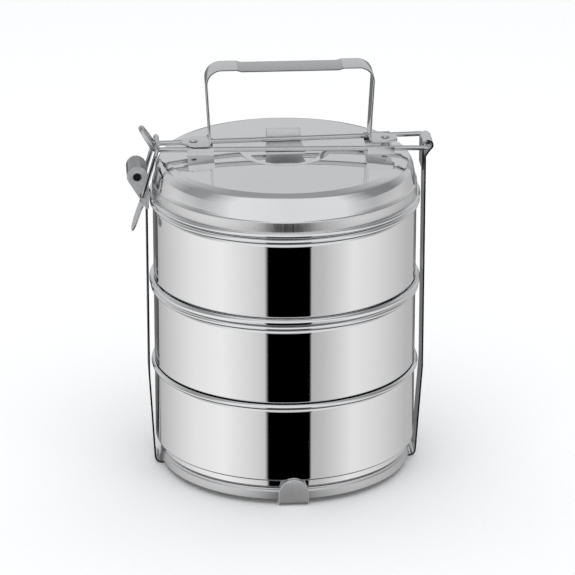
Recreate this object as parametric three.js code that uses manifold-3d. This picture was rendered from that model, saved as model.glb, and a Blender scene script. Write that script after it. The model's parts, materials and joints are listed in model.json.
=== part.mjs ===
// A three-bowl steel tiffin carrier: stacked bowls, an inner tray and a domed lid, held in a
// strap frame by a hinged wire crossbar with a carrying handle and an over-centre latch.
// Millimetres, +Z up. The crossbar runs along X: the latch is at -X, its hinge at +X, the front
// is -Y. The origin is on the bowls' axis, on the surface that the carrier stands on.
import * as THREE from 'three';
import { mergeVertices } from 'three/addons/utils/BufferGeometryUtils.js';
import Module from 'manifold-3d';

const wasm = await Module();
wasm.setup();

// ---- driving dimensions -------------------------------------------------------------------
const GAP = 0.3;                  // clearance between pieces that touch
const ROUND_STEPS = 36;           // facets round a bowl

const BOWL = {
  radius: 80,                     // outside of the wall
  sheet: 1.0,
  footRadius: 77,                 // the foot nests in the mouth below
  foot: 5.4,                      // foot plane to shoulder
  footRing: 3,                    // width of the ring that the bowl stands on
  panel: 1.5,                     // the bottom panel's lift above the foot plane
  body: 50.2,                     // shoulder to the top of the rolled rim
  rim: 82,
  rimHeight: 3.4,
};
const SHOULDER_BOTTOM = 16.4;     // shoulder of the bottom bowl above the surface
const TRAY = {
  lip: 82.6,                      // outside of the lip between the middle and the top bowl
  lipHeight: 3.7,
  outer: 78.4,                    // outside of the wall, inside the middle bowl's mouth
  depth: 15,
  sheet: 1.0,
  corner: 8,
};
const LID = {
  rim: 82.2,
  rimHeight: 3.7,
  skirt: 80.3,                    // radius and top of the straight skirt over the rim
  skirtTop: 10.7,
  flank: [[73.4, 24.3], [76.2, 20.6], [78.6, 15.4]],   // radius and height of the convex shoulder
  shoulder: 71.5,                 // edge of the dome
  dome: 25.2,                     // height of the dome's edge above the seat
  rise: 2.7,                      // apex above the dome's edge
  dishFloor: 21,                  // the shallow dish pressed in the middle of the dome
  dishEdge: 27,
  dishDepth: 1.4,
  sheet: 1.0,
  plug: 78.4,                     // the collar that drops into the top bowl
  plugDepth: 3.4,
};

const RING = { outer: 77, sheet: 1.2, bottom: 3.2, top: 10.6, flange: 6 };
const STRAP = {
  width: 18,
  sheet: 1.0,
  bend: 4,
  low: 80.5,                      // corner under the base
  left: 83.7,                     // the uprights' middle planes
  right: 84.45,
  straightFrom: 60,               // the uprights lean out to here, then stand straight
  kink: 16,                       // the left upright leans out to its eye from this far below it
  wrap: 265,                      // degrees that the left eye is rolled round the pin
};
const TAB = { sheet: 1.2, foot: 78.4, top: 81.5, height: 18, bend: 3, crown: 9.5 };

const WIRE = {
  radius: 1.5,
  z: 203.6,
  left: 6,                        // half the spread of the two wires at each end
  right: 13.5,
  leftEnd: -78.6,                 // where the wires turn up into the nose
  noseX: -86.4,
  noseZ: 215.4,
  straightSteps: 8,
};
const EYE = { x: 86, z: WIRE.z, radius: 2.9, wrapFrom: -62, wrapTo: 182, tailX: 83.05, tailEnd: 188 };
const CLIP = { length: 26, topLength: 21, sheet: 1.0, curl: 2.9, back: 7.4, lean: 3 };
const CLAMP = { inner: 46, outer: 62, sheet: 1.0, height: 4.2 };
const HANDLE = {
  middle: 3,                      // the handle stands a little towards the hinge
  width: 18,
  sheet: 1.2,
  footHalf: 48,                   // half the distance between the legs, at the feet and at the top
  topHalf: 50.6,
  top: 254,
  bend: 9,
  footLength: 17,
  footBend: 2.6,
  footTaper: 7,                   // length of the feet's narrowing ends, and half their end width
  footTip: 4,
};
const RIVET = { reach: 58, shaft: 1.6, head: 2.9, headHeight: 0.9, tail: 0.7 };

const PIVOT = { x: -89.4, z: 188.5, pin: 1.9, head: 2.6, headHeight: 1.0, eye: 3.05 };
const LEVER = {
  nose: 6.2,                      // radius round the pivot
  sheet: 1.1,
  halfWidth: 10.6,
  tipX: -83.4,                    // lower corner of the ears, beside the strap
  tipZ: 168.3,
  tipRadius: 0.9,
  inside: -82.4,                  // the ears' edge towards the bowls
  webInside: -84.6,               // the web stays outside the strap
  webEnd: 72,                     // degrees above the horizontal where the web stops, over the pivot
  bendX: -85.4,                   // where the tail leaves the web
  bendZ: 171.6,
  neck: 5,                        // the tail narrows to its own width this far below the bend
  tailX: -92.6,
  tailZ: 151.2,
  tailHalf: 8.4,
};
const BAIL = {
  radius: 1.3,
  lowX: -86.2,                    // the ends' place in the lever's ears
  lowZ: 176.3,
  topX: -77,
  halfWidth: 13.4,
  corner: 2.8,
  hole: 1.7,
};

// ---- shared shape helpers -----------------------------------------------------------------
const V2 = (x, y) => new THREE.Vector2(x, y);
const V3 = (x, y, z) => new THREE.Vector3(x, y, z);

function welded(geometry) {
  const bare = geometry.index ? geometry.toNonIndexed() : geometry.clone();
  bare.deleteAttribute('normal');
  bare.deleteAttribute('uv');
  return mergeVertices(bare, 1e-4);
}

function solid(geometry) {
  const g = welded(geometry);
  return new wasm.Manifold(new wasm.Mesh({
    numProp: 3,
    vertProperties: new Float32Array(g.attributes.position.array),
    triVerts: new Uint32Array(g.index.array),
  }));
}

function geometryOf(manifold) {
  const mesh = manifold.getMesh();
  const g = new THREE.BufferGeometry();
  g.setAttribute('position', new THREE.BufferAttribute(new Float32Array(mesh.vertProperties), 3));
  g.setIndex(new THREE.BufferAttribute(new Uint32Array(mesh.triVerts), 1));
  return g;
}

// A profile of (radius, height) points turned about Z.
function turned(points, steps = ROUND_STEPS) {
  return new THREE.LatheGeometry(points, steps).rotateX(Math.PI / 2);
}

// An outline in the XZ plane, extruded along Y between two planes.
function alongY(shape, from, to) {
  const g = new THREE.ExtrudeGeometry(shape, { depth: to - from, bevelEnabled: false, curveSegments: 8 });
  return g.rotateX(Math.PI / 2).translate(0, to, 0);
}

// An outline in the YZ plane, extruded along X between two planes.
function alongX(shape, from, to) {
  const g = new THREE.ExtrudeGeometry(shape, { depth: to - from, bevelEnabled: false, curveSegments: 8 });
  return g.rotateX(Math.PI / 2).rotateZ(Math.PI / 2).translate(from, 0, 0);
}

// An outline in the XY plane, extruded up between two heights.
function alongZ(shape, from, to) {
  return new THREE.ExtrudeGeometry(shape, { depth: to - from, bevelEnabled: false, curveSegments: 8 })
    .translate(0, 0, from);
}

// The outline of a strip of even thickness along a line of points.
function stripOutline(points, thickness) {
  const left = [];
  const right = [];
  points.forEach((p, i) => {
    const before = points[Math.max(i - 1, 0)];
    const after = points[Math.min(i + 1, points.length - 1)];
    const a = i > 0 ? p.clone().sub(before).normalize() : after.clone().sub(p).normalize();
    const b = i < points.length - 1 ? after.clone().sub(p).normalize() : a.clone();
    const along = a.clone().add(b).normalize();
    const reach = thickness / 2 / Math.max(0.5, along.dot(a));
    const side = V2(-along.y, along.x).multiplyScalar(reach);
    left.push(p.clone().add(side));
    right.unshift(p.clone().sub(side));
  });
  return new THREE.Shape([...left, ...right]);
}

// Points of a line with its corners rounded; corners is a list of [x, y, radius].
function rounded(corners, steps = 4) {
  const out = [];
  corners.forEach(([x, y, r], i) => {
    const here = V2(x, y);
    if (!r || i === 0 || i === corners.length - 1) {
      out.push(here);
      return;
    }
    const to = V2(corners[i - 1][0], corners[i - 1][1]).sub(here).normalize();
    const away = V2(corners[i + 1][0], corners[i + 1][1]).sub(here).normalize();
    const half = Math.acos(THREE.MathUtils.clamp(to.dot(away), -1, 1)) / 2;
    const back = r / Math.tan(half);
    const centre = here.clone().add(to.clone().add(away).normalize().multiplyScalar(r / Math.sin(half)));
    const start = here.clone().add(to.multiplyScalar(back)).sub(centre).angle();
    let turn = here.clone().add(away.multiplyScalar(back)).sub(centre).angle() - start;
    turn = Math.atan2(Math.sin(turn), Math.cos(turn));
    for (let k = 0; k <= steps; k += 1) {
      const angle = start + (turn * k) / steps;
      out.push(V2(centre.x + r * Math.cos(angle), centre.y + r * Math.sin(angle)));
    }
  });
  return out;
}

// Points on an arc, angles in degrees.
function arc(x, y, r, from, to, steps) {
  return Array.from({ length: steps + 1 }, (_, k) => {
    const angle = THREE.MathUtils.degToRad(from + ((to - from) * k) / steps);
    return V2(x + r * Math.cos(angle), y + r * Math.sin(angle));
  });
}

function disc(x, y, r, steps = 16) {
  return new THREE.Shape(arc(x, y, r, 0, 360, steps).slice(0, -1));
}

// A cylinder along Y.
function rodY(x, z, r, from, to, steps = 16) {
  return alongY(disc(x, z, r, steps), from, to);
}

// ---- materials ----------------------------------------------------------------------------
function steel(name, color, roughness) {
  return new THREE.MeshStandardMaterial({ name, color, roughness, metalness: 1.0 });
}
const POLISHED = () => steel('polished_steel', 0xd9dadb, 0.08);
const SATIN = () => steel('satin_steel', 0xb9bbbc, 0.38);
const STRIP = () => steel('strip_steel', 0xc6c8c9, 0.22);
const BRIGHT_WIRE = () => steel('wire_steel', 0xc4c6c8, 0.16);

const carrier = new THREE.Group();
carrier.name = 'tiffin_carrier';

function add(name, geometry, material) {
  const g = welded(geometry);
  g.computeVertexNormals();
  const mesh = new THREE.Mesh(g, material);
  mesh.name = name;
  carrier.add(mesh);
}

// ---- bowls, tray and lid ------------------------------------------------------------------
function bowlProfile(footPlane) {
  const { radius, sheet, footRadius, foot, footRing, panel, body, rim, rimHeight } = BOWL;
  const top = foot + body;
  const rimMid = top - rimHeight / 2;
  const wallIn = radius - sheet;
  const footIn = footRadius - sheet;
  const round = 0.8 * sheet;
  const bead = arc(radius, rimMid, rimHeight / 2, -60, 90, 4).map((p) => V2(
    Math.min(rim, radius + (p.x - radius) * ((rim - radius) / (rimHeight / 2))), p.y));
  return [
    V2(0, panel), V2(footIn - footRing, panel), V2(footIn - footRing + sheet, 0), V2(footIn, 0),
    V2(footRadius, 1.2 * sheet), V2(footRadius, foot), V2(radius - round, foot), V2(radius, foot + round),
    V2(radius, top - rimHeight), ...bead,
    V2(wallIn, top), V2(wallIn, foot + sheet + 1.5 * round), V2(wallIn - round, foot + sheet),
    V2(footIn, foot + sheet), V2(footIn, panel + sheet + round), V2(footIn - round, panel + sheet),
    V2(0, panel + sheet),
  ].map((p) => V2(p.x, p.y + footPlane));
}

const pitch = BOWL.body + GAP;
const shoulders = {
  bowl_bottom: SHOULDER_BOTTOM,
  bowl_middle: SHOULDER_BOTTOM + pitch,
  bowl_top: SHOULDER_BOTTOM + 2 * pitch + TRAY.lipHeight + GAP,
};
for (const [name, shoulder] of Object.entries(shoulders)) {
  add(name, turned(bowlProfile(shoulder - BOWL.foot)), POLISHED());
}

function trayProfile(seat) {
  const { lip, lipHeight, outer, depth, sheet, corner } = TRAY;
  const floor = seat - depth;
  const low = arc(outer - corner, floor + corner / 2, 1, -90, 0, 3)
    .map((p) => V2(outer - corner + (p.x - outer + corner) * corner,
      floor + corner / 2 + (p.y - floor - corner / 2) * (corner / 2)));
  const inside = [...low].reverse().map((p) => V2(p.x - sheet, p.y + sheet));
  return [
    V2(0, floor), ...low, V2(outer, seat), V2(lip - 1.2, seat), V2(lip, seat + lipHeight / 3),
    V2(lip, seat + (2 * lipHeight) / 3), V2(lip - 1, seat + lipHeight), V2(outer + 0.6, seat + lipHeight),
    V2(outer - sheet, seat + lipHeight - 1.2), ...inside, V2(0, floor + sheet),
  ];
}
const traySeat = shoulders.bowl_middle + pitch;
add('inner_tray', turned(trayProfile(traySeat)), POLISHED());

function lidProfile(seat) {
  const { rim, rimHeight, skirt, skirtTop, flank, shoulder, dome, rise, sheet, plug, plugDepth } = LID;
  const { dishFloor, dishEdge, dishDepth } = LID;
  const capRadius = (shoulder ** 2 + rise ** 2) / (2 * rise);
  const cap = (r, z) => z - capRadius + Math.sqrt(capRadius ** 2 - r ** 2);
  const apex = seat + dome + rise;
  const capPoints = [
    ...[0, dishFloor].map((r) => V2(r, cap(r, apex) - dishDepth)),
    ...[dishEdge, 48, shoulder - 3].map((r) => V2(r, cap(r, apex))),
  ];
  const inner = [...capPoints].reverse().map((p) => V2(p.x, p.y - sheet));
  const outerFlank = flank.map(([r, z]) => V2(r, seat + z));
  const innerFlank = [...outerFlank].reverse().map((p) => V2(p.x - sheet, p.y - 0.6 * sheet));
  return [
    ...capPoints, ...outerFlank,
    V2(skirt, seat + skirtTop), V2(skirt, seat + rimHeight), V2(rim - 0.6, seat + rimHeight - 0.5),
    V2(rim, seat + rimHeight - 1.8), V2(rim - 0.7, seat + 0.4), V2(skirt + 0.2, seat),
    V2(plug, seat), V2(plug, seat - plugDepth), V2(plug - 0.9, seat - plugDepth),
    V2(plug - 0.9, seat + 2), V2(skirt - sheet, seat + rimHeight), V2(skirt - sheet, seat + skirtTop - 0.4),
    ...innerFlank, ...inner,
  ];
}
const lidSeat = shoulders.bowl_top + pitch;
add('lid', turned(lidProfile(lidSeat).reverse()), POLISHED());

// ---- frame --------------------------------------------------------------------------------
function ringProfile() {
  const { outer, sheet, bottom, top, flange } = RING;
  const inner = outer - sheet;
  return [
    V2(outer - 0.3, bottom), V2(outer, bottom + 0.3), V2(outer, top - 0.9), V2(outer - 0.9, top),
    V2(outer - flange, top), V2(outer - flange, top - sheet), V2(inner - 0.4, top - sheet),
    V2(inner, top - sheet - 0.6), V2(inner, bottom), V2(outer - 0.3, bottom),
  ];
}
add('base_ring', turned(ringProfile()), SATIN());

function crossStrap() {
  const { sheet, foot, top, height, bend, crown } = TAB;
  const low = sheet / 2;
  const path = rounded([[-top, height], [-foot, low, bend], [foot, low, bend], [top, height]]);
  const band = solid(alongX(stripOutline(path, sheet), -STRAP.width / 2, STRAP.width / 2));
  const half = STRAP.width / 2;
  const front = [V2(-half - 1, -1), V2(half + 1, -1), V2(half, height - crown),
    ...arc(0, 0, 1, 0, 180, 10).map((p) => V2(p.x * half, height - crown + p.y * crown))];
  return geometryOf(band.intersect(solid(alongY(new THREE.Shape(front), -top - 9, top + 9))));
}
add('cross_strap', crossStrap(), SATIN());

// The lower run of a side strap, from the middle of the base out to the foot of its upright. It is
// stepped up over the cross strap in the middle.
function strapFoot(side, upright) {
  const low = STRAP.sheet / 2;
  const over = TAB.sheet + GAP + low;
  return [
    [side * (GAP / 2), over, 0], [side * (STRAP.width / 2 + 2), over, 1],
    [side * (STRAP.width / 2 + 5), low, 1], [side * STRAP.low, low, STRAP.bend],
    [side * upright, STRAP.straightFrom, 30],
  ];
}

function strapLeft() {
  const { x, z, eye } = PIVOT;
  const joint = V2(-STRAP.left, z - STRAP.kink);
  const toPivot = V2(x, z).sub(joint);
  const lean = toPivot.angle() - Math.asin(eye / toPivot.length());
  const touch = THREE.MathUtils.radToDeg(lean) - 90;
  const beyond = joint.clone().add(V2(Math.cos(lean), Math.sin(lean)).multiplyScalar(STRAP.kink));
  const path = [
    ...rounded([...strapFoot(-1, STRAP.left), [joint.x, joint.y, STRAP.bend], [beyond.x, beyond.y, 0]])
      .slice(0, -1),
    ...arc(x, z, eye, touch, touch + STRAP.wrap, 14),
  ];
  return alongY(stripOutline(path, STRAP.sheet), -STRAP.width / 2, STRAP.width / 2);
}
add('side_strap_left', strapLeft(), STRIP());

function strapRight() {
  const { x, z, radius, wrapFrom, wrapTo, tailX, tailEnd } = EYE;
  const path = [
    ...rounded([...strapFoot(1, STRAP.right), [STRAP.right, z - 2.4 * radius, 0]]),
    ...arc(x, z, radius, wrapFrom, wrapTo, 13), V2(tailX, z - radius), V2(tailX, tailEnd),
  ];
  return alongY(stripOutline(path, STRAP.sheet), -STRAP.width / 2, STRAP.width / 2);
}
add('side_strap_right', strapRight(), STRIP());

// ---- crossbar and handle ------------------------------------------------------------------
// Half the distance between the two long wires of the crossbar, which spread towards the hinge.
const spread = (x) => THREE.MathUtils.mapLinear(x, WIRE.leftEnd, EYE.x, WIRE.left, WIRE.right);

function crossbarWire() {
  const { z, left, right, leftEnd, noseX, noseZ, radius, straightSteps } = WIRE;
  const bend = 3;
  const tip = 2.5;
  const straight = Array.from({ length: straightSteps + 1 }, (_, k) => {
    const x = THREE.MathUtils.mapLinear(k, 0, straightSteps, EYE.x - 3 * bend, leftEnd + 1.5 * bend);
    return V3(x, spread(x), z);
  });
  const half = [
    V3(EYE.x, 0, z), V3(EYE.x, right - bend, z), V3(EYE.x - 0.9, right - 0.9, z),
    V3(EYE.x - bend, spread(EYE.x - bend), z), ...straight, V3(leftEnd + 1.5, left, z),
    V3(leftEnd - 0.4, left - 0.1, z + 0.6),
    V3((leftEnd + noseX) / 2, left - 0.6, (z + noseZ) / 2), V3(noseX + 0.9, left - tip, noseZ - 1.2),
    V3(noseX, 0, noseZ),
  ];
  const back = half.slice(1, -1).reverse().map((p) => V3(p.x, -p.y, p.z));
  const curve = new THREE.CatmullRomCurve3([...half, ...back], true, 'centripetal');
  return new THREE.TubeGeometry(curve, 84, radius, 8, true);
}
add('crossbar_wire', crossbarWire(), BRIGHT_WIRE());

function centreClip() {
  const { length, topLength, sheet, curl, back, lean } = CLIP;
  const at = spread(0);
  const path = [
    ...arc(-at, WIRE.z, curl, 60, 270, 9), ...arc(at, WIRE.z, curl, -90, 0, 4),
    V2(at + curl + lean, WIRE.z + back),
  ];
  const clip = solid(alongX(stripOutline(path, sheet), -length / 2, length / 2));
  // The upstand narrows towards its top edge.
  const low = WIRE.z - curl - sheet;
  const high = WIRE.z + back + sheet;
  const front = new THREE.Shape([V2(-length / 2, low), V2(length / 2, low), V2(length / 2, WIRE.z),
    V2(topLength / 2, high), V2(-topLength / 2, high), V2(-length / 2, WIRE.z)]);
  return geometryOf(clip.intersect(solid(alongY(front, -at - 2 * curl, at + 2 * curl + lean))));
}
add('centre_clip', centreClip(), STRIP());

// A trough under both wires, its sides turned up outside them.
function wireClamp(side) {
  const { inner, outer, sheet, height } = CLAMP;
  const under = WIRE.z - WIRE.radius - GAP;
  const plan = (grow, over) => {
    const a = HANDLE.middle + side * (inner - over);
    const b = HANDLE.middle + side * (outer + over);
    const wa = spread(a) + grow;
    const wb = spread(b) + grow;
    return new THREE.Shape([V2(a, -wa), V2(b, -wb), V2(b, wb), V2(a, wa)]);
  };
  const clear = WIRE.radius + 0.4;
  const block = solid(alongZ(plan(clear + sheet, 0), under - sheet, under - sheet + height));
  return geometryOf(block.subtract(solid(alongZ(plan(clear, 5), under, under + height + 5))));
}

function rivetHole(x, from, to) {
  return solid(alongZ(disc(x, 0, RIVET.shaft + GAP, 12), from, to));
}
const rivetX = (side) => HANDLE.middle + side * RIVET.reach;
const footTop = WIRE.z + WIRE.radius + GAP + HANDLE.sheet;

for (const [name, side] of [['left', -1], ['right', 1]]) {
  const trough = solid(wireClamp(side)).subtract(rivetHole(rivetX(side), WIRE.z - 9, WIRE.z + 9));
  add(`wire_clamp_${name}`, geometryOf(trough), STRIP());
}

function handleStrip() {
  const { middle, width, sheet, footHalf, topHalf, top, bend, footLength, footBend } = HANDLE;
  const { footTaper, footTip } = HANDLE;
  const footMid = footTop - sheet / 2;
  const line = [
    [-footHalf - footLength, footMid, 0], [-footHalf, footMid, footBend], [-topHalf, top - sheet / 2, bend],
    [topHalf, top - sheet / 2, bend], [footHalf, footMid, footBend], [footHalf + footLength, footMid, 0],
  ].map(([x, z, r]) => [middle + x, z, r]);
  let strip = solid(alongY(stripOutline(rounded(line, 6), sheet), -width / 2, width / 2));
  for (const side of [-1, 1]) {
    strip = strip.subtract(rivetHole(rivetX(side), WIRE.z, WIRE.z + 9));
  }
  // The feet narrow towards their outer ends.
  const end = footHalf + footLength;
  const corners = [[-end, -footTip], [footTaper - end, -width / 2], [end - footTaper, -width / 2],
    [end, -footTip], [end, footTip], [end - footTaper, width / 2], [footTaper - end, width / 2],
    [-end, footTip]];
  const tapered = new THREE.Shape(corners.map(([x, y]) => V2(middle + x, y)));
  return geometryOf(strip.intersect(solid(alongZ(tapered, WIRE.z - 5, top + 5))));
}
add('handle', handleStrip(), STRIP());

for (const [name, side] of [['left', -1], ['right', 1]]) {
  const { shaft, head, headHeight, tail } = RIVET;
  const low = WIRE.z - WIRE.radius;
  const high = footTop + GAP;
  const profile = [
    V2(0, low), V2(head, low), V2(head, low + tail), V2(shaft, low + tail), V2(shaft, high),
    V2(head, high), V2(0.7 * head, high + 0.8 * headHeight), V2(0, high + headHeight),
  ];
  add(`handle_rivet_${name}`, turned(profile, 12).translate(rivetX(side), 0, 0), STRIP());
}

// ---- latch --------------------------------------------------------------------------------
// Outline round two circles of different size, in the XZ plane.
function stadium(x1, z1, r1, x2, z2, r2, steps = 10) {
  const angle = THREE.MathUtils.radToDeg(Math.atan2(z2 - z1, x2 - x1));
  const open = THREE.MathUtils.radToDeg(Math.acos((r1 - r2) / Math.hypot(x2 - x1, z2 - z1)));
  return new THREE.Shape([
    ...arc(x1, z1, r1, angle + open, angle + 360 - open, steps),
    ...arc(x2, z2, r2, angle - open, angle + open, 4),
  ]);
}

function latchLever() {
  const { nose, sheet, halfWidth, tipX, tipZ, tipRadius, inside, webInside, webEnd } = LEVER;
  const { bendX, bendZ, neck, tailX, tailZ, tailHalf } = LEVER;
  const { x, z } = PIVOT;
  const across = (outline, half) => solid(alongY(outline, -half, half));
  const flat = new THREE.Shape([V2(x, z), V2(tipX, tipZ), V2(inside, tipZ), V2(inside, z - nose),
    V2(x + nose, z)]);
  const outer = across(stadium(x, z, nose, tipX, tipZ, tipRadius), halfWidth).add(across(flat, halfWidth));
  // The hollow is the same outline moved in by one sheet, so a web is left outside and on top.
  const gap = halfWidth - sheet;
  const inward = V2(z - tipZ, tipX - x).normalize().multiplyScalar(sheet);
  const hollow = stadium(x, z, nose - sheet, tipX + inward.x, tipZ + inward.y, tipRadius);
  // The web stops above the eye, so that the lever can turn up without striking the strap.
  const below = tipZ - nose;
  const open = new THREE.Shape([V2(x, z), ...arc(x, z, 2 * nose, webEnd, 0, 3), V2(x + 2 * nose, below),
    V2(webInside, below), V2(webInside, tipZ + nose)]);
  let lever = outer.subtract(across(hollow, gap)).subtract(across(open, gap))
    .subtract(solid(rodY(x, z, PIVOT.pin + GAP, -halfWidth - 1, halfWidth + 1)))
    .subtract(solid(rodY(BAIL.lowX, BAIL.lowZ, BAIL.hole, -halfWidth - 1, halfWidth + 1, 12)));
  // The thumb tab flares out below and ends round.
  const start = V2(x, z).sub(V2(tipX, tipZ)).normalize().multiplyScalar(3);
  const tailPath = rounded([[bendX + start.x, bendZ + start.y, 0], [bendX, bendZ, 2.5], [tailX, tailZ, 0]]);
  const tail = across(stripOutline(tailPath, sheet), halfWidth);
  const full = bendZ - neck / 2;
  const narrow = bendZ - neck;
  const face = new THREE.Shape([
    V2(-halfWidth, z), V2(-halfWidth, full), V2(-tailHalf, narrow),
    ...arc(0, tailZ + tailHalf - sheet / 2, tailHalf, 180, 360, 8), V2(tailHalf, narrow),
    V2(halfWidth, full), V2(halfWidth, z),
  ]);
  lever = lever.add(tail.intersect(solid(alongX(face, tailX - 9, inside))));
  return geometryOf(lever);
}
add('latch_lever', latchLever(), STRIP());

function latchPin() {
  const { x, z, pin, head, headHeight } = PIVOT;
  const seat = LEVER.halfWidth + GAP;
  return geometryOf(solid(rodY(x, z, pin, -seat - 0.2, seat + 0.2))
    .add(solid(rodY(x, z, head, seat, seat + headHeight)))
    .add(solid(rodY(x, z, head, -seat - headHeight, -seat))));
}
add('latch_pin', latchPin(), STRIP());

function latchBail() {
  const { radius, lowX, lowZ, topX, halfWidth, corner } = BAIL;
  const topZ = WIRE.z + WIRE.radius + GAP + radius;
  const up = V3(topX - lowX, 0, topZ - lowZ).normalize();
  const low = V3(lowX, 0, lowZ);
  const top = V3(topX, 0, topZ);
  const at = (p, y) => V3(p.x, y, p.z);
  const bend = 0.3 * corner;
  const half = [
    at(low, LEVER.halfWidth - LEVER.sheet + 0.1),
    at(low, halfWidth - corner),
    at(low, halfWidth - bend).addScaledVector(up, bend),
    at(low, halfWidth).addScaledVector(up, corner),
    at(top, halfWidth).addScaledVector(up, -corner),
    at(top, halfWidth - bend).addScaledVector(up, -bend),
    at(top, halfWidth - corner),
  ];
  const mirrored = half.map((p) => V3(p.x, -p.y, p.z));
  const path = new THREE.CatmullRomCurve3([...mirrored, ...half.reverse()], false, 'centripetal');
  return new THREE.ExtrudeGeometry(disc(0, 0, radius, 8), { steps: 56, extrudePath: path });
}
add('latch_bail', latchBail(), BRIGHT_WIRE());

export default carrier;
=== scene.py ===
# Looks of the steel tiffin carrier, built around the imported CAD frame. The scene is in metres, +Z up,
# on the frame's axes; the dimensions below and the profiles are in millimetres.
import json
import math

import bpy
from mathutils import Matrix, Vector


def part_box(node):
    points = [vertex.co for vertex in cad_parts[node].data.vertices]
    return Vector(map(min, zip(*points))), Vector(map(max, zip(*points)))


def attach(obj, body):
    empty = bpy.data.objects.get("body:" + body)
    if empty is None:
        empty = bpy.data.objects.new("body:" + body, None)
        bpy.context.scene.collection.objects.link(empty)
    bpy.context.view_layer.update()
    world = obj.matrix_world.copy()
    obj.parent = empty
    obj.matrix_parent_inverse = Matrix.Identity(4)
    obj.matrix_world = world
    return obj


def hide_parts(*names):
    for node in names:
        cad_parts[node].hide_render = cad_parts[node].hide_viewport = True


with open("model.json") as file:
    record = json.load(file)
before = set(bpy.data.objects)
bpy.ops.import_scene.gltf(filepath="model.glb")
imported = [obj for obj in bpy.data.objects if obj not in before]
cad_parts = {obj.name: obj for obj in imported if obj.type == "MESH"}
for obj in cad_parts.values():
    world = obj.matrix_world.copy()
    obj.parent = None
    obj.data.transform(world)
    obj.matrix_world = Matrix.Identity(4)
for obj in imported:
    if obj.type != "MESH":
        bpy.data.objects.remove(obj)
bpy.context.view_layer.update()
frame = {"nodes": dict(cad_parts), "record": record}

MM = 0.001

# ---- dimensions, in millimetres -----------------------------------------------------------
INSET = 0.05                    # the turned looks stop this far short of the node's lowest face
SHEET = 0.8                     # bowls, tray and lid
RIM = 1.7                       # radius of the bowls' rolled rim
RIM_REACH = 1.95                # the rim stands out this far beyond the bowl's wall
FOOT_STEP = 3                   # the foot stands this far inside the wall
SHOULDER = 5.4                  # height of the foot
FLOOR_RAISE = 1.5               # the bottom panel stands this far above the foot's plane
TRAY_WALL = 78.4
TRAY_LIP = 3.7                  # height of the tray's lip
LID_SEAT = 3.4                  # depth of the collar that drops into the top bowl
LID_COLLAR = 78.3
LID_COLLAR_INSIDE = 77.6
LID_BEAD = 1.6                  # radius of the bead at the lid's rim
LID_SKIRT = 80.2
LID_STEP = 79.4
LID_SHOULDER = 73.6
LID_RISE = 3.0                  # apex of the dome above its edge
DISH_FLOOR = 21                 # the dish pressed in the dome's middle: its floor, its edge and its depth
DISH_EDGE = 27
DISH_DEPTH = 1.4
RING_SHEET = 1.0
RING_FLANGE = 6                 # the base ring turns in by this much at its top
STRAP_SHEET = 1.2
STRAP_CROWN = 9.5               # height of the rounded ends of the cross strap
HANDLE_SHEET = 1.2
HANDLE_HALF = 9.0               # half the width of the handle's strip
HANDLE_TIP = 4.0                # and half of it at the ends of the feet, which narrow over their last part
HANDLE_TAPER = 7
HANDLE_FOOT = 48                # half the distance between the legs, at the feet and at the top
HANDLE_TOP = 50.6
HANDLE_FOOT_LENGTH = 17
GRIP_HALF = 29                  # half the length of the pressed grip, and how far it is pressed in
GRIP_DEPTH = 0.9
WIRE = 1.5                      # radius of the crossbar's wire
WIRE_Z = 203.6
WIRE_LEFT = 6                   # half the spread of the two wires at each end
WIRE_RIGHT = 13.5
WIRE_LEFT_END = -78.6           # where the wires turn up into the nose
HINGE_X = 86
NOSE_X = -86.4
NOSE_Z = 215.4
WIRE_STATIONS = (76, 55, 28, 0, -28, -55, -70, -74)     # x of the points between the ends
CLIP_SHEET = 1.2
CLIP_LOW = 12.3                 # half the clip's width at its front edge, and at its top
CLIP_TOP = 10.3
CLIP_WIRE_Y = 9.6               # the wires' distance from the middle where the clip crosses them
CLIP_RISE = 5.4                 # top of the clip above the wires' middle
LEAF_TOP = 167                  # the latch's satin thumb leaf starts below this height

# ---- looks --------------------------------------------------------------------------------
ROUND = 192                     # facets round a turned piece
WIRE_SIDES = 16                 # facets round the crossbar's wire
BEVEL = 0.16 * MM               # softened edge on cut strip
SHARP = math.radians(38)        # edges that turn by more than this stay sharp

VIEW_AZIMUTH = math.radians(-4)
VIEW_ELEVATION = math.radians(21)
VIEW_DISTANCE = 2.2
VIEW_TARGET = Vector((1.8 * MM, 0, 110.7 * MM))
VIEW_LENS = 225
VIEW_SENSOR = 36

BODY_OF = {node: body for body, nodes in frame["record"]["behaviour"]["bodies"].items() for node in nodes}


# ---- materials ----------------------------------------------------------------------------
def node_of(tree, kind, **inputs):
    """A new shader node, with its named sockets set or linked."""
    node = tree.nodes.new(kind)
    for name, value in inputs.items():
        socket = node.inputs[name.replace("_", " ")]
        if isinstance(value, bpy.types.NodeSocket):
            tree.links.new(value, socket)
        else:
            socket.default_value = value
    return node


def ramp_between(tree, factor, low, high):
    """Blends two colours by factor, between 0.3 and 0.7."""
    ramp = node_of(tree, "ShaderNodeValToRGB", Fac=factor)
    ramp.color_ramp.elements[0].position = 0.3
    ramp.color_ramp.elements[0].color = (*low, 1)
    ramp.color_ramp.elements[1].position = 0.7
    ramp.color_ramp.elements[1].color = (*high, 1)
    return ramp.outputs["Color"]


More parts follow.
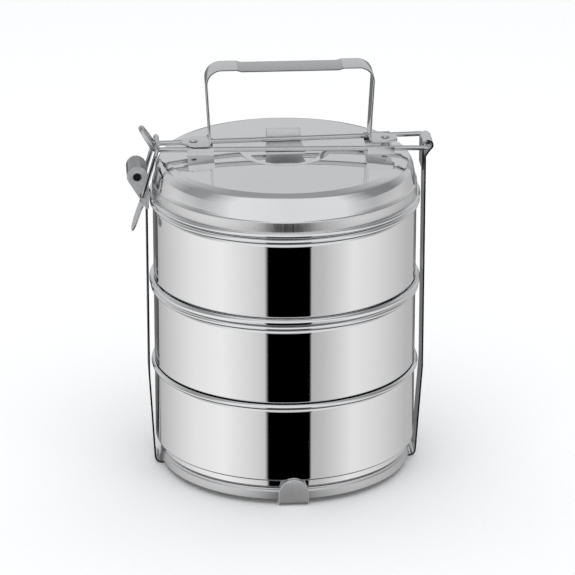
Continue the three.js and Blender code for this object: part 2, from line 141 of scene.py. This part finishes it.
def steel(name, tone, rough, grain, relief, wear):
    """Steel with fine polishing lines. tone and rough are (low, high) pairs, grain stretches the lines
    along an axis by being small there, relief is the height of the lines in metres, and wear sets how
    much of the surface has rougher scuffs."""
    material = bpy.data.materials.new(name)
    material.use_nodes = True
    tree = material.node_tree
    shader = tree.nodes["Principled BSDF"]
    shader.inputs["Metallic"].default_value = 1.0
    place = node_of(tree, "ShaderNodeTexCoord").outputs["Object"]
    stretched = node_of(tree, "ShaderNodeMapping", Vector=place, Scale=grain).outputs["Vector"]
    lines = node_of(tree, "ShaderNodeTexNoise", Vector=stretched, Scale=1.0, Detail=3.0, Roughness=0.6)
    clouds = node_of(tree, "ShaderNodeTexNoise", Vector=place, Scale=42.0, Detail=4.0, Roughness=0.55)
    both = node_of(tree, "ShaderNodeMix", Factor=0.35)
    tree.links.new(lines.outputs["Fac"], both.inputs[2])
    tree.links.new(clouds.outputs["Fac"], both.inputs[3])
    marks = node_of(tree, "ShaderNodeTexVoronoi", Vector=stretched, Scale=0.35)
    scuffs = node_of(tree, "ShaderNodeMath", Value=marks.outputs["Distance"])
    scuffs.operation = "LESS_THAN"
    scuffs.inputs[1].default_value = wear
    low, high = rough
    rough_of = node_of(tree, "ShaderNodeMapRange", Value=both.outputs[0])
    rough_of.inputs["From Min"].default_value = 0.35
    rough_of.inputs["From Max"].default_value = 0.65
    rough_of.inputs["To Min"].default_value = low
    rough_of.inputs["To Max"].default_value = high
    scuffed = node_of(tree, "ShaderNodeMath")
    scuffed.operation = "MULTIPLY_ADD"
    tree.links.new(scuffs.outputs[0], scuffed.inputs[0])
    scuffed.inputs[1].default_value = high * 0.5
    tree.links.new(rough_of.outputs[0], scuffed.inputs[2])
    tree.links.new(scuffed.outputs[0], shader.inputs["Roughness"])
    dark, light = tone
    colour = ramp_between(tree, both.outputs[0], (dark, dark, dark * 1.004), (light, light, light * 1.004))
    tree.links.new(colour, shader.inputs["Base Color"])
    bump = node_of(tree, "ShaderNodeBump", Strength=1.0, Distance=relief, Height=lines.outputs["Fac"])
    tree.links.new(bump.outputs["Normal"], shader.inputs["Normal"])
    return material


MIRROR = steel("mirror_steel", (0.86, 0.89), (0.03, 0.055), (30, 30, 2200), 0.0000004, 0.03)
INSIDE = steel("inside_steel", (0.78, 0.84), (0.16, 0.24), (60, 60, 2600), 0.000002, 0.03)
SATIN = steel("satin_steel", (0.70, 0.77), (0.34, 0.46), (40, 40, 900), 0.000004, 0.05)
TAB = steel("tab_steel", (0.80, 0.90), (0.52, 0.62), (1500, 60, 40), 0.000006, 0.05)
SKIRT = steel("skirt_steel", (0.74, 0.84), (0.26, 0.36), (900, 900, 30), 0.000005, 0.03)
STRIP = steel("strip_steel", (0.72, 0.80), (0.12, 0.20), (90, 1600, 90), 0.000002, 0.05)
# Painted dark: on the latch lever this tone is a painted reflection of the black room, and on the centre
# clip's cut edges it is painted shade.
PAINTED_DARK_STEEL = steel("painted_dark_reflection_and_shade_steel", (0.26, 0.36), (0.06, 0.12), (500, 60, 500), 0.000001, 0.03)
GRIP = steel("grip_steel", (0.52, 0.60), (0.16, 0.26), (90, 1600, 90), 0.000003, 0.06)
EAR = steel("ear_steel", (0.88, 0.94), (0.52, 0.62), (400, 60, 400), 0.000003, 0.05)
PRESSED = steel("pressed_steel", (0.72, 0.78), (0.15, 0.24), (500, 500, 120), 0.000003, 0.05)
# The wires' dark tone is painted shade: it stands in for the dark reflections and shadows along the chrome
# wires.
SHADED_WIRE_STEEL = steel("wire_painted_shade", (0.58, 0.66), (0.10, 0.17), (700, 60, 700), 0.000002, 0.04)


# ---- mesh helpers -------------------------------------------------------------------------
def piece(name, verts, faces, node, material):
    """A new piece that stands for a CAD node and rides on that node's body."""
    mesh = bpy.data.meshes.new(name)
    mesh.from_pydata(verts, [], faces)
    mesh.materials.append(material)
    mesh.validate()
    mesh.shade_smooth()
    mesh.set_sharp_from_angle(angle=SHARP)
    thing = bpy.data.objects.new(name, mesh)
    bpy.context.scene.collection.objects.link(thing)
    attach(thing, BODY_OF[node])
    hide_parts(node)
    return thing


def second_material(thing, material, covers):
    """Give the faces for which covers(face) is true another material."""
    thing.data.materials.append(material)
    for face in thing.data.polygons:
        if covers(face):
            face.material_index = 1


def second_turned(thing, material, covers):
    """The same for a turned piece, with covers(height, outward, up). The height is in millimetres; outward
    and up are parts of the face's normal."""
    def covers_face(face):
        radius = math.hypot(face.center.x, face.center.y)
        outward = (face.normal.x * face.center.x + face.normal.y * face.center.y) / max(radius, 1e-6)
        return covers(face.center.z / MM, outward, face.normal.z)

    second_material(thing, material, covers_face)


def rounded(corners, steps=8):
    """Points of a line in a plane, in millimetres, with corners (x, y, radius) rounded."""
    out = []
    for i, (x, y, radius) in enumerate(corners):
        here = Vector((x, y))
        if not radius or i in (0, len(corners) - 1):
            out.append(here)
            continue
        to = (Vector(corners[i - 1][:2]) - here).normalized()
        away = (Vector(corners[i + 1][:2]) - here).normalized()
        half = math.acos(max(-1, min(1, to.dot(away)))) / 2
        centre = here + (to + away).normalized() * (radius / math.sin(half))
        first = here + to * (radius / math.tan(half)) - centre
        last = here + away * (radius / math.tan(half)) - centre
        start = math.atan2(first.y, first.x)
        turn = math.atan2(last.y, last.x) - start
        turn = math.atan2(math.sin(turn), math.cos(turn))
        for k in range(steps + 1):
            angle = start + turn * k / steps
            out.append(centre + radius * Vector((math.cos(angle), math.sin(angle))))
    return out


def arc(x, y, radius, start, end, steps):
    """Points on an arc, in millimetres and degrees."""
    return [Vector((x + radius * math.cos(math.radians(start + (end - start) * k / steps)),
                    y + radius * math.sin(math.radians(start + (end - start) * k / steps))))
            for k in range(steps + 1)]


def turned(name, profile, base, node, material):
    """A profile of (radius, height) points in millimetres, upwards outside, turned about Z."""
    verts, faces, rings = [], [], []
    for p in profile:
        if p[0] < 1e-6:
            rings.append([len(verts)])
            verts.append((0, 0, base + p[1] * MM))
            continue
        rings.append(list(range(len(verts), len(verts) + ROUND)))
        for k in range(ROUND):
            angle = 2 * math.pi * k / ROUND
            verts.append((p[0] * MM * math.cos(angle), p[0] * MM * math.sin(angle), base + p[1] * MM))
    pairs = list(zip(rings, rings[1:]))
    if len(rings[0]) > 1:
        pairs.append((rings[-1], rings[0]))
    for low, high in pairs:
        for k in range(ROUND):
            after = (k + 1) % ROUND
            if len(low) == 1:
                faces.append((low[0], high[after], high[k]))
            elif len(high) == 1:
                faces.append((low[k], low[after], high[0]))
            else:
                faces.append((low[k], low[after], high[after], high[k]))
    return piece(name, verts, faces, node, material)


def ribbon(name, path, node, material, sheet, place, half_width):
    """A strip of sheet with softened edges, swept along path (points in a plane, in millimetres).
    place(u, v, w) gives the position of the plane's u, v and of w across the strip, and
    half_width(along, total) is half the strip's width at a length along the path."""
    soft = 0.3 * sheet
    section = []
    for cx, cy, start in ((1, 1, 0), (-1, 1, 90), (-1, -1, 180), (1, -1, 270)):
        for p in arc(0, 0, soft, start, start + 90, 3):
            section.append((cx, cy, p.x, p.y))
    length = [0.0]
    for a, b in zip(path, path[1:]):
        length.append(length[-1] + (b - a).length)
    verts, faces = [], []
    for i, p in enumerate(path):
        before = path[max(i - 1, 0)]
        after = path[min(i + 1, len(path) - 1)]
        a = (p - before).normalized() if i else (after - p).normalized()
        b = (after - p).normalized() if i < len(path) - 1 else a
        along = (a + b).normalized()
        lean = 1 / max(0.5, along.dot(a))
        normal = Vector((-along.y, along.x)) * lean
        half = half_width(length[i], length[-1])
        for cx, cy, dx, dy in section:
            off = normal * (cy * (sheet / 2 - soft) + dy)
            w = cx * max(half - soft, 0.05) + dx
            verts.append(tuple(MM * c for c in place(p.x + off.x, p.y + off.y, w)))
    count = len(section)
    for i in range(len(path) - 1):
        for k in range(count):
            after = (k + 1) % count
            a, b = i * count, (i + 1) * count
            faces.append((a + k, b + k, b + after, a + after))
    faces.append(tuple(range(count)))
    faces.append(tuple(reversed(range((len(path) - 1) * count, len(path) * count))))
    return piece(name, verts, faces, node, material)


def tube(name, points, radius, node, material):
    """A round wire in a closed loop through points, in metres."""
    count = len(points)
    verts, faces = [], []
    last = None
    for i, p in enumerate(points):
        along = (points[(i + 1) % count] - points[i - 1]).normalized()
        side = along.cross(Vector((0, 0, 1)) if last is None else last.cross(along)).normalized()
        if last is not None and side.dot(last) < 0:
            side = -side
        last = side
        other = along.cross(side)
        for k in range(WIRE_SIDES):
            angle = 2 * math.pi * k / WIRE_SIDES
            verts.append(tuple(p + radius * (math.cos(angle) * side + math.sin(angle) * other)))
    for i in range(count):
        a, b = i * WIRE_SIDES, ((i + 1) % count) * WIRE_SIDES
        for k in range(WIRE_SIDES):
            after = (k + 1) % WIRE_SIDES
            faces.append((a + k, a + after, b + after, b + k))
    return piece(name, verts, faces, node, material)


def smooth_line(points, steps):
    """Points on a closed Catmull-Rom curve through the given ones (centripetal)."""
    count = len(points)
    out = []
    for i in range(count):
        p0, p1, p2, p3 = (points[(i + k) % count] for k in (-1, 0, 1, 2))
        t1 = (p1 - p0).length ** 0.5
        t2 = t1 + (p2 - p1).length ** 0.5
        t3 = t2 + (p3 - p2).length ** 0.5
        for k in range(steps):
            t = t1 + (t2 - t1) * k / steps
            a1 = p0 * ((t1 - t) / t1) + p1 * (t / t1)
            a2 = p1 * ((t2 - t) / (t2 - t1)) + p2 * ((t - t1) / (t2 - t1))
            a3 = p2 * ((t3 - t) / (t3 - t2)) + p3 * ((t - t2) / (t3 - t2))
            b1 = a1 * ((t2 - t) / t2) + a2 * (t / t2)
            b2 = a2 * ((t3 - t) / (t3 - t1)) + a3 * ((t - t1) / (t3 - t1))
            out.append(b1 * ((t2 - t) / (t2 - t1)) + b2 * ((t - t1) / (t2 - t1)))
    return out


def refined(node, material):
    """A CAD node's own shape with softened edges."""
    source = frame["nodes"][node]
    thing = bpy.data.objects.new(f"{node}_look", source.data.copy())
    bpy.context.scene.collection.objects.link(thing)
    thing.data.materials.clear()
    thing.data.materials.append(material)
    bevel = thing.modifiers.new("edges", "BEVEL")
    bevel.width = BEVEL
    bevel.segments = 2
    bevel.limit_method = "ANGLE"
    bevel.angle_limit = SHARP
    depsgraph = bpy.context.evaluated_depsgraph_get()
    mesh = bpy.data.meshes.new_from_object(thing.evaluated_get(depsgraph))
    thing.modifiers.clear()
    thing.data = mesh
    mesh.shade_smooth()
    mesh.set_sharp_from_angle(angle=SHARP)
    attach(thing, BODY_OF[node])
    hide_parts(node)
    return thing


# ---- bowls, tray and lid ------------------------------------------------------------------
def floor_bead(radius, z):
    """Corners of the low ring pressed up in a floor at height z, from its outer edge inwards."""
    return [(radius, z, 0.8), (radius - 1, z + 0.5, 0.8), (radius - 4, z + 0.5, 0.8), (radius - 5, z, 0.8)]


def bowl(node):
    low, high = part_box(node)
    rim = high[0] / MM
    height = (high[2] - low[2]) / MM
    radius = rim - RIM_REACH
    foot = radius - FOOT_STEP
    inner = radius - SHEET
    floor_z = 2.4
    # The points just above the shoulder and just below the rim keep the wall's shading even.
    outside = [
        (0, FLOOR_RAISE, 0), (foot - 5, FLOOR_RAISE, 1.2), (foot - 3.6, INSET, 0.8), (foot, INSET, 1.2),
        (foot, SHOULDER, 0.7), (radius, SHOULDER, 1.3), (radius, SHOULDER + 2, 0),
        (radius, height - 5.8, 0), (radius, height - 5, 0),
    ]
    inside = [
        (inner, height - 0.9, 0), (inner, SHOULDER + 1, 2.4), (foot - SHEET, SHOULDER + 1, 0.8),
        (foot - SHEET, floor_z, 1.8), *floor_bead(38, floor_z), (0, floor_z, 0),
    ]
    rolled = arc(rim - RIM, height - RIM, RIM, -118, 96, 16)
    profile = [*rounded(outside), *rolled, *rounded(inside, 6)]
    thing = turned(f"{node}_look", profile, low[2], node, MIRROR)
    floor_top = low[2] / MM + SHOULDER + 2
    second_turned(thing, INSIDE, lambda z, outward, up: outward < -0.5 or (up > 0.6 and z < floor_top))


for bowl_node in ("bowl_bottom", "bowl_middle", "bowl_top"):
    bowl(bowl_node)


def inner_tray():
    low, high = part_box("inner_tray")
    lip = high[0] / MM
    height = (high[2] - low[2]) / MM
    seat = height - TRAY_LIP
    inner = TRAY_WALL - SHEET
    floor_z = 0.9
    corners = [
        (0, INSET, 0), (TRAY_WALL, INSET, 6), (TRAY_WALL, seat, 0.4), (lip - 1.6, seat + 0.1, 0.8),
        (lip, seat + 0.6, 0.9), (lip, height - 0.6, 1.1), (lip - 2.4, height, 1.2),
        (inner, height - 1.4, 1.0), (inner, floor_z, 5.2), *floor_bead(48, floor_z), (0, floor_z, 0),
    ]
    thing = turned("inner_tray_look", rounded(corners, 6), low[2], "inner_tray", MIRROR)
    lip_bottom = low[2] / MM + seat
    second_turned(thing, INSIDE, lambda z, outward, up: z < lip_bottom and (outward < -0.3 or up > 0.6))


inner_tray()


def lid():
    low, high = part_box("lid")
    rim = high[0] / MM
    apex = (high[2] - low[2]) / MM
    edge = apex - LID_RISE
    cap = (LID_SHOULDER ** 2 + LID_RISE ** 2) / (2 * LID_RISE)      # radius of the dome's sphere

    def dome(r, drop):
        return Vector((r, apex - drop - cap + math.sqrt(cap ** 2 - r ** 2)))

    def on_dome(r, drop, radius):
        """A corner on the dome, rounded by radius."""
        return (r, dome(r, drop).y, radius)

    def dish(drop):
        """The flat dish pressed in the middle of the dome, from its floor out to the dome."""
        floor_z = dome(0, drop).y - DISH_DEPTH
        return rounded([(0, floor_z, 0), (DISH_FLOOR, floor_z - 0.1, 4), on_dome(DISH_EDGE, drop, 5),
                        on_dome(DISH_EDGE + 8, drop, 0)], 10)

    # The skirt ends in a small step, and the convex shoulder turns over into the dome.
    outer = rounded([
        (LID_SKIRT, LID_SEAT + 4.0, 0), (LID_SKIRT, LID_SEAT + 9.9, 0.8), (LID_STEP, LID_SEAT + 10.5, 0.4),
        (LID_STEP - 0.3, LID_SEAT + 12.0, 0.6), (LID_SHOULDER + 4.2, edge - 5.0, 8),
        (LID_SHOULDER + 1.9, edge - 1.2, 3), on_dome(LID_SHOULDER - 3, 0, 3),
        on_dome(LID_SHOULDER - 12, 0, 0),
    ], 12)
    top = [dome(r, 0) for r in range(56, 36, -4)] + dish(0)[::-1]
    under = dish(SHEET) + [dome(r, SHEET) for r in range(40, 60, 4)]
    inner = rounded([
        on_dome(LID_SHOULDER - 12, SHEET, 0), on_dome(LID_SHOULDER - 3.2, SHEET, 3),
        (LID_SHOULDER + 1.2, edge - 2.2, 3), (LID_SHOULDER + 3.2, edge - 5.6, 7),
        (LID_STEP - 0.4 - SHEET, LID_SEAT + 11.2, 0.6), (LID_SKIRT - SHEET, LID_SEAT + 9.0, 0.8),
        (LID_SKIRT - SHEET, LID_SEAT + 2.6, 1.0), (LID_COLLAR_INSIDE, LID_SEAT + 1.2, 0.8),
        (LID_COLLAR_INSIDE, INSET, 0),
    ], 8)
    collar = rounded([(LID_COLLAR, INSET, 0), (LID_COLLAR, LID_SEAT + INSET, 0.5),
                      (rim - 1.4, LID_SEAT + INSET, 0.6)], 4)
    bead = arc(rim - LID_BEAD, LID_SEAT + 1.75, LID_BEAD, -70, 112, 14)
    thing = turned("lid_look", [*under, *inner, *collar, *bead, *outer, *top], low[2], "lid", MIRROR)
    bead_top = low[2] / MM + LID_SEAT + 3.6
    step_bottom = low[2] / MM + LID_SEAT + 10.2
    second_turned(thing, SKIRT, lambda z, outward, up: outward > 0.6 and bead_top < z < step_bottom)


lid()


def base_ring():
    low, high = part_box("base_ring")
    outer = high[0] / MM
    height = (high[2] - low[2]) / MM
    inner = outer - RING_SHEET
    profile = rounded([
        (inner, 0.02, 0), (outer - 0.05, 0.02, 0.4),
        (outer, height * 0.72, 0.4), (outer - 0.5, height * 0.8, 0.5),
        (outer - 0.4, height, 0.7), (outer - RING_FLANGE, height, 0.4),
        (outer - RING_FLANGE, height - RING_SHEET, 0.3), (inner, height - RING_SHEET, 0.6),
        (inner, 0.02, 0)], 5)
    turned("base_ring_look", profile[:-1], low[2], "base_ring", SATIN)


base_ring()


# ---- strap frame --------------------------------------------------------------------------
def cross_strap():
    _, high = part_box("cross_strap")
    half = high[0] / MM
    top = high[2] / MM
    reach = high[1] / MM - 0.62
    foot = reach - 3.1
    end_steps = 24

    def half_width(along, total):
        end = min(along, total - along)
        if end >= STRAP_CROWN:
            return half
        return max(0.4, half * math.sqrt(max(0.0, 1 - ((STRAP_CROWN - end) / STRAP_CROWN) ** 2)))

    def towards(start, finish):
        """Points from start almost to finish, closest together at the start, where the end is round."""
        return [start + (finish - start) * (k / end_steps) ** 1.6 for k in range(end_steps)]

    path = rounded([(-reach, top - 0.02, 0), (-foot, STRAP_SHEET / 2, 3), (foot, STRAP_SHEET / 2, 3),
                    (reach, top - 0.02, 0)], 10)
    path = towards(path[0], path[1]) + path[1:-1] + towards(path[-1], path[-2])[::-1]
    ribbon("cross_strap_look", path, "cross_strap", TAB, STRAP_SHEET, lambda u, v, w: (w, u, v), half_width)


cross_strap()
for strap in ("side_strap_left", "side_strap_right"):
    refined(strap, STRIP)


# ---- crossbar -----------------------------------------------------------------------------
def handle():
    low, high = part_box("handle")
    middle = (low[0] + high[0]) / 2 / MM
    top = high[2] / MM
    foot_z = low[2] / MM + HANDLE_SHEET / 2
    top_z = top - HANDLE_SHEET / 2
    end_steps = 8
    corners = [
        (-HANDLE_FOOT - HANDLE_FOOT_LENGTH, foot_z, 0), (-HANDLE_FOOT, foot_z, 2.6),
        (-HANDLE_TOP, top_z, 9), (-GRIP_HALF - 3, top_z, 2), (-GRIP_HALF, top_z - GRIP_DEPTH, 2),
        (GRIP_HALF, top_z - GRIP_DEPTH, 2), (GRIP_HALF + 3, top_z, 2), (HANDLE_TOP, top_z, 9),
        (HANDLE_FOOT, foot_z, 2.6), (HANDLE_FOOT + HANDLE_FOOT_LENGTH, foot_z, 0),
    ]
    path = rounded([(middle + x, z, r) for x, z, r in corners], 16)
    first = [path[0] + (path[1] - path[0]) * k / end_steps for k in range(end_steps)]
    last = [path[-1] + (path[-2] - path[-1]) * k / end_steps for k in range(end_steps)]
    path = first + path[1:-1] + last[::-1]

    def half_width(along, total):
        end = min(along, total - along)
        return min(HANDLE_HALF, HANDLE_TIP + end * (HANDLE_HALF - HANDLE_TIP) / HANDLE_TAPER)

    def in_grip(face):
        return abs(face.center.x / MM - middle) < GRIP_HALF + 1.5 and face.center.z / MM > top - 4

    thing = ribbon("handle_look", path, "handle", STRIP, HANDLE_SHEET, lambda u, v, w: (u, w, v), half_width)
    second_material(thing, GRIP, in_grip)


handle()


def crossbar_wire():
    bend, tip = 3, 2.5          # how far before a corner the hinge's bends and the nose's tip begin

    def spread(x):
        return WIRE_LEFT + (WIRE_RIGHT - WIRE_LEFT) * (x - WIRE_LEFT_END) / (HINGE_X - WIRE_LEFT_END)

    half = [
        (HINGE_X, 0, WIRE_Z), (HINGE_X, WIRE_RIGHT - bend, WIRE_Z),
        (HINGE_X - 0.9, WIRE_RIGHT - 0.9, WIRE_Z), (HINGE_X - bend, spread(HINGE_X - bend), WIRE_Z),
        *[(x, spread(x), WIRE_Z) for x in WIRE_STATIONS],
        (WIRE_LEFT_END + 1.5, WIRE_LEFT, WIRE_Z), (WIRE_LEFT_END - 0.4, WIRE_LEFT - 0.1, WIRE_Z + 0.6),
        ((WIRE_LEFT_END + NOSE_X) / 2, WIRE_LEFT - 0.6, (WIRE_Z + NOSE_Z) / 2),
        (NOSE_X + 0.9, WIRE_LEFT - tip, NOSE_Z - 1.2), (NOSE_X, 0, NOSE_Z),
    ]
    loop = half + [(x, -y, z) for x, y, z in reversed(half[1:-1])]
    points = smooth_line([Vector(p) * MM for p in loop], 6)
    # The wire's darkened tone is painted shade.
    tube("crossbar_wire_look", points, WIRE * MM, "crossbar_wire", SHADED_WIRE_STEEL)


crossbar_wire()
for clamp in ("wire_clamp_left", "wire_clamp_right"):
    refined(clamp, STRIP)


def centre_clip():
    """The plate that lies under both wires and stands up behind the rear one. Its cut edges are painted
    dark, as painted shade.
    """
    low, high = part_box("centre_clip")
    middle = (low[0] + high[0]) / 2 / MM
    flat_z = WIRE_Z - WIRE - CLIP_SHEET / 2 - 0.05
    behind = CLIP_WIRE_Y + WIRE + CLIP_SHEET / 2 + 0.3
    path = rounded([(-CLIP_WIRE_Y - WIRE, flat_z, 0), (behind, flat_z, 1.4),
                    (behind + 1.6, WIRE_Z + CLIP_RISE, 0)], 8)

    def half_width(along, total):
        return CLIP_LOW + (CLIP_TOP - CLIP_LOW) * min(1, along / (total - 5))

    def is_shaded_edge(face):
        at_top = face.normal.z > 0.7 and face.center.z / MM > WIRE_Z + 3
        return abs(face.normal.x) > 0.3 or at_top

    thing = ribbon("centre_clip_look", path, "centre_clip", EAR, CLIP_SHEET,
                   lambda u, v, w: (middle + w, u, v), half_width)
    # Painted shade on the clip's cut edges and top edge.
    second_material(thing, PAINTED_DARK_STEEL, is_shaded_edge)


centre_clip()
for rivet in ("handle_rivet_left", "handle_rivet_right", "latch_pin"):
    refined(rivet, PRESSED)


# ---- latch --------------------------------------------------------------------------------
# The lever's dark body is a painted reflection; its ears and thumb leaf are satin.
lever = refined("latch_lever", PAINTED_DARK_STEEL)
second_material(lever, EAR, lambda face: abs(face.normal.y) > 0.7 or face.center.z < LEAF_TOP * MM)
# The bail's darkened wire tone is painted shade.
refined("latch_bail", SHADED_WIRE_STEEL)


# ---- stage, light and camera --------------------------------------------------------------
def floor():
    reach = 6.0
    mesh = bpy.data.meshes.new("floor")
    corners = [(-reach, -reach, 0), (reach, -reach, 0), (reach, reach, 0), (-reach, reach, 0)]
    mesh.from_pydata(corners, [], [(0, 1, 2, 3)])
    material = bpy.data.materials.new("floor_paper")
    material.use_nodes = True
    tree = material.node_tree
    shader = tree.nodes["Principled BSDF"]
    shader.inputs["Roughness"].default_value = 0.9
    shader.inputs["Specular IOR Level"].default_value = 0.0
    place = node_of(tree, "ShaderNodeTexCoord").outputs["Object"]
    fibre = node_of(tree, "ShaderNodeTexNoise", Vector=place, Scale=300.0, Detail=2.0)
    colour = ramp_between(tree, fibre.outputs["Fac"], (0.95,) * 3, (0.97,) * 3)
    tree.links.new(colour, shader.inputs["Base Color"])
    mesh.materials.append(material)
    thing = bpy.data.objects.new("floor", mesh)
    bpy.context.scene.collection.objects.link(thing)
    thing.visible_glossy = False


floor()


def studio():
    """A room with grey walls, a black gap in front, a dark floor and a darker ceiling at the back. It is
    seen only in the reflections; the camera sees white."""
    world = bpy.data.worlds.new("studio")
    bpy.context.scene.world = world
    world.use_nodes = True
    tree = world.node_tree
    tree.nodes.clear()
    ray = node_of(tree, "ShaderNodeTexCoord").outputs["Generated"]
    parts = node_of(tree, "ShaderNodeSeparateXYZ", Vector=ray)
    back = node_of(tree, "ShaderNodeMath")
    back.operation = "MULTIPLY"
    tree.links.new(parts.outputs["Y"], back.inputs[0])
    back.inputs[1].default_value = -1.0
    around = node_of(tree, "ShaderNodeMath")
    around.operation = "ARCTAN2"
    tree.links.new(parts.outputs["X"], around.inputs[0])
    tree.links.new(back.outputs[0], around.inputs[1])
    turn = node_of(tree, "ShaderNodeMapRange", Value=around.outputs[0])
    turn.inputs["From Min"].default_value = -math.pi
    turn.inputs["From Max"].default_value = math.pi

    def ring(stops, tint=(1, 1, 1.005)):
        """Greys round the room; a stop is (degrees from straight ahead, grey)."""
        ramp = node_of(tree, "ShaderNodeValToRGB", Fac=turn.outputs[0])
        steps = ramp.color_ramp.elements
        while len(steps) < len(stops):
            steps.new(0.5)
        for step, (degrees, grey) in zip(steps, stops):
            step.position = (degrees + 180) / 360
            step.color = (*(grey * part for part in tint), 1)
        return ramp.outputs["Color"]

    def blend(factor, below, above):
        mix = node_of(tree, "ShaderNodeMix")
        mix.data_type = "RGBA"
        tree.links.new(factor, mix.inputs["Factor"])
        for socket, colour in ((mix.inputs[6], below), (mix.inputs[7], above)):
            if isinstance(colour, tuple):
                socket.default_value = colour
            else:
                tree.links.new(colour, socket)
        return mix.outputs[2]

    def rise(axis, low, high):
        step = node_of(tree, "ShaderNodeMapRange", Value=parts.outputs[axis])
        step.inputs["From Min"].default_value = low
        step.inputs["From Max"].default_value = high
        return step.outputs[0]

    walls = ring([(-180, 0.20), (-153, 0.13), (-147, 0.50), (-90, 0.86), (-60, 0.94), (-30, 0.72),
                  (-19.9, 0.62), (-19.5, 0.0), (19, 0.0), (19.4, 0.50), (30, 0.56), (58, 0.86), (80, 0.78),
                  (130, 0.52), (160, 0.46), (166, 0.13), (180, 0.20)])
    above = ring([(-180, 0.62), (-125, 0.60), (-100, 0.30), (-80, 0.34), (-50, 0.85), (0, 0.78), (50, 0.80),
                  (80, 0.26), (105, 0.24), (130, 0.58), (180, 0.62)], (0.975, 0.99, 1.01))
    room = blend(rise("Z", -0.16, -0.02), walls, above)
    room = blend(rise("Z", -0.74, -0.52), (0.10, 0.10, 0.10, 1), room)
    high_up = node_of(tree, "ShaderNodeMath")
    high_up.operation = "MULTIPLY"
    tree.links.new(rise("Y", 0.02, 0.25), high_up.inputs[0])
    tree.links.new(rise("Z", 0.55, 0.75), high_up.inputs[1])
    room = blend(high_up.outputs[0], room, (0.34, 0.34, 0.35, 1))
    seen = node_of(tree, "ShaderNodeBackground", Color=(1, 1, 1, 1), Strength=1.0)
    lit = node_of(tree, "ShaderNodeBackground", Color=room, Strength=1.0)
    pick = node_of(tree, "ShaderNodeMixShader")
    path = node_of(tree, "ShaderNodeLightPath")
    tree.links.new(path.outputs["Is Camera Ray"], pick.inputs[0])
    tree.links.new(lit.outputs[0], pick.inputs[1])
    tree.links.new(seen.outputs[0], pick.inputs[2])
    output = node_of(tree, "ShaderNodeOutputWorld")
    tree.links.new(pick.outputs[0], output.inputs["Surface"])


studio()


def soft_light(name, place, size, power):
    """A large panel pointing at the carrier that doesn't show in its reflections."""
    lamp = bpy.data.lights.new(name, "AREA")
    lamp.shape = "RECTANGLE"
    lamp.size = size
    lamp.size_y = size
    lamp.energy = power
    thing = bpy.data.objects.new(name, lamp)
    thing.location = place
    thing.rotation_euler = (Vector((0, 0, 0.1)) - Vector(place)).to_track_quat("-Z", "Y").to_euler()
    thing.visible_glossy = False
    bpy.context.scene.collection.objects.link(thing)


soft_light("overhead", (0, 0.2, 2.4), 3.0, 46)


def camera():
    data = bpy.data.cameras.new("view")
    data.lens = VIEW_LENS
    data.sensor_width = VIEW_SENSOR
    data.clip_end = 50
    thing = bpy.data.objects.new("view", data)
    bpy.context.scene.collection.objects.link(thing)
    flat = math.cos(VIEW_ELEVATION)
    away = Vector((math.sin(VIEW_AZIMUTH) * flat, -math.cos(VIEW_AZIMUTH) * flat, math.sin(VIEW_ELEVATION)))
    thing.location = VIEW_TARGET + away * VIEW_DISTANCE
    thing.rotation_euler = (-away).to_track_quat("-Z", "Y").to_euler()
    bpy.context.scene.camera = thing


camera()
bpy.context.scene.view_settings.view_transform = "Standard"
